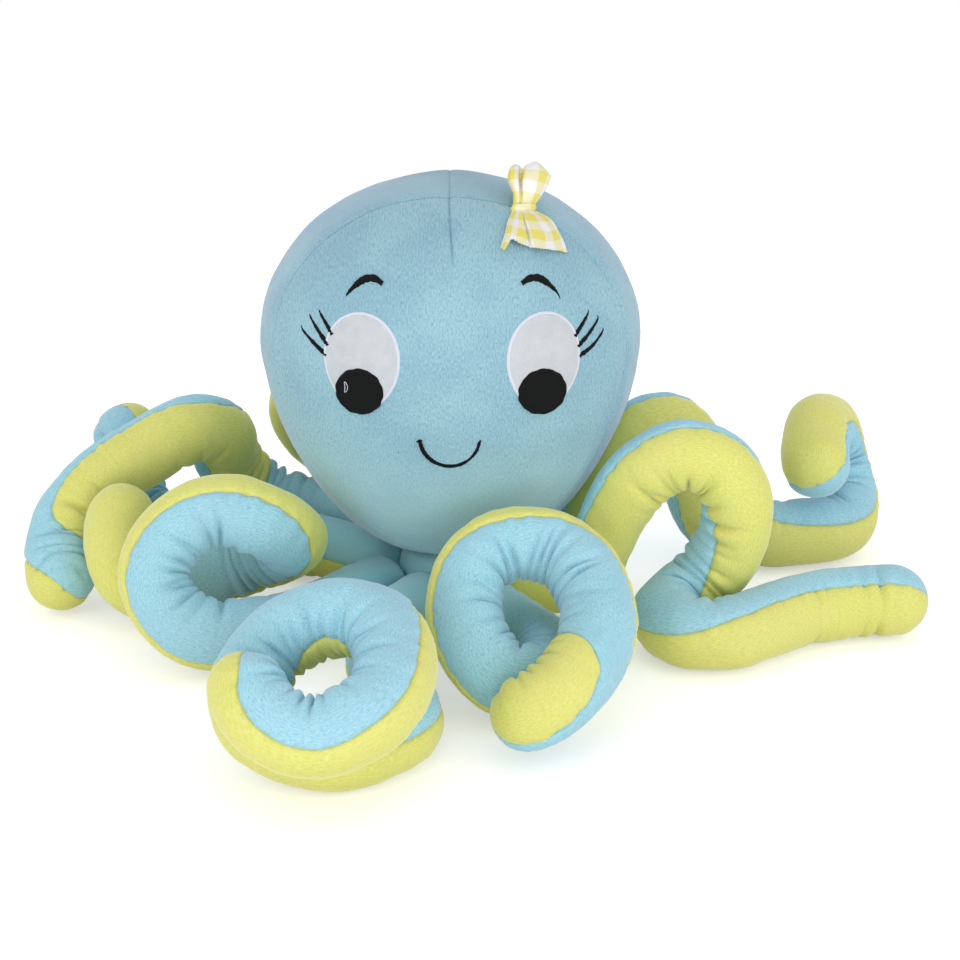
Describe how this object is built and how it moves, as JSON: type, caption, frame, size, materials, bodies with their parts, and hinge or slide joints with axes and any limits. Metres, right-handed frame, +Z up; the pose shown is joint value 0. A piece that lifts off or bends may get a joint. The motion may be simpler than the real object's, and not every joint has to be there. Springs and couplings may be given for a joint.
{
  "type": "plush octopus",
  "caption": "Stuffed octopus with a round head, embroidered face, gingham bow and posable two-colour arms curled round a flat base.",
  "frame": {"origin": "centre of the base disc's flat underside, on the surface that it rests on", "axes": "+Z up, the face looks along -Y, +X is to the viewer's right"},
  "size_m": [0.6655, 0.5883, 0.3437],
  "materials": {
    "blue_plush": "short pile plush, pale sky blue",
    "yellow_plush": "short pile plush, lemon yellow",
    "stuffing": "polyester fibre fill",
    "white_felt": "smooth white felt",
    "white_thread": "satin stitched white thread",
    "black_thread": "satin stitched black thread",
    "gingham": "woven yellow and white check cotton",
    "wire": "soft annealed wire"
  },
  "bodies": {
    "body": {"head_stuffing": "stuffing", "face_panel": "blue_plush", "back_panel_left": "blue_plush", "back_panel_right": "blue_plush", "base_cushion": "blue_plush", "base_disc": "blue_plush", "eye_patch_left": "white_felt", "eye_border_left": "white_thread", "pupil_left": "black_thread", "brow_left": "black_thread", "lash_left_1": "black_thread", "lash_left_2": "black_thread", "lash_left_3": "black_thread", "eye_patch_right": "white_felt", "eye_border_right": "white_thread", "pupil_right": "black_thread", "brow_right": "black_thread", "lash_right_1": "black_thread", "lash_right_2": "black_thread", "lash_right_3": "black_thread", "mouth": "black_thread"},
    "arm_right_back": {"arm_right_back_blue_strip": "blue_plush", "arm_right_back_yellow_strip": "yellow_plush", "arm_right_back_wire": "wire"},
    "arm_back_right": {"arm_back_right_blue_strip": "blue_plush", "arm_back_right_yellow_strip": "yellow_plush", "arm_back_right_wire": "wire"},
    "arm_back_left": {"arm_back_left_blue_strip": "blue_plush", "arm_back_left_yellow_strip": "yellow_plush", "arm_back_left_wire": "wire"},
    "arm_left_back": {"arm_left_back_blue_strip": "blue_plush", "arm_left_back_yellow_strip": "yellow_plush", "arm_left_back_wire": "wire"},
    "arm_left_front": {"arm_left_front_blue_strip": "blue_plush", "arm_left_front_yellow_strip": "yellow_plush", "arm_left_front_wire": "wire"},
    "arm_front_left": {"arm_front_left_blue_strip": "blue_plush", "arm_front_left_yellow_strip": "yellow_plush", "arm_front_left_wire": "wire"},
    "arm_front_right": {"arm_front_right_blue_strip": "blue_plush", "arm_front_right_yellow_strip": "yellow_plush", "arm_front_right_wire": "wire"},
    "arm_right_front": {"arm_right_front_blue_strip": "blue_plush", "arm_right_front_yellow_strip": "yellow_plush", "arm_right_front_wire": "wire"},
    "bow": {"bow_upper_loop": "gingham", "bow_lower_loop": "gingham", "bow_knot": "gingham"}
  },
  "joints": [
    {"name": "right_back_swing", "type": "hinge", "parent": "body", "child": "arm_right_back", "pos_m": [0.05529, 0.0229, 0.0229], "axis": [0, 0, 1], "range_deg": [-20, 10]},
    {"name": "back_right_lift", "type": "hinge", "parent": "body", "child": "arm_back_right", "pos_m": [0.0229, 0.05529, 0.0229], "axis": [-0.342, 0.9397, 0], "range_deg": [0, 12]},
    {"name": "back_left_lift", "type": "hinge", "parent": "body", "child": "arm_back_left", "pos_m": [-0.0229, 0.05529, 0.0229], "axis": [0, 1, 0], "range_deg": [0, 4]},
    {"name": "left_back_lift", "type": "hinge", "parent": "body", "child": "arm_left_back", "pos_m": [-0.05529, 0.0229, 0.0229], "axis": [0.1736, 0.9848, 0], "range_deg": [0, 5]},
    {"name": "left_front_lift", "type": "hinge", "parent": "body", "child": "arm_left_front", "pos_m": [-0.05529, -0.0229, 0.0229], "axis": [0, 1, 0], "range_deg": [0, 12]},
    {"name": "front_left_lift", "type": "hinge", "parent": "body", "child": "arm_front_left", "pos_m": [-0.0229, -0.05529, 0.0229], "axis": [-0.9848, 0.1736, 0], "range_deg": [0, 12]},
    {"name": "front_right_lift", "type": "hinge", "parent": "body", "child": "arm_front_right", "pos_m": [0.0229, -0.05529, 0.0229], "axis": [-0.9659, -0.2588, 0], "range_deg": [0, 12]},
    {"name": "right_front_swing", "type": "hinge", "parent": "body", "child": "arm_right_front", "pos_m": [0.05529, -0.0229, 0.0229], "axis": [0, 0, 1], "range_deg": [-20, 20]},
    {"name": "bow_swivel", "type": "hinge", "parent": "body", "child": "bow", "pos_m": [0.05778, -0.02343, 0.31536], "axis": [0.366, -0.2421, 0.8986], "range_deg": [-12, 12]}
  ]
}
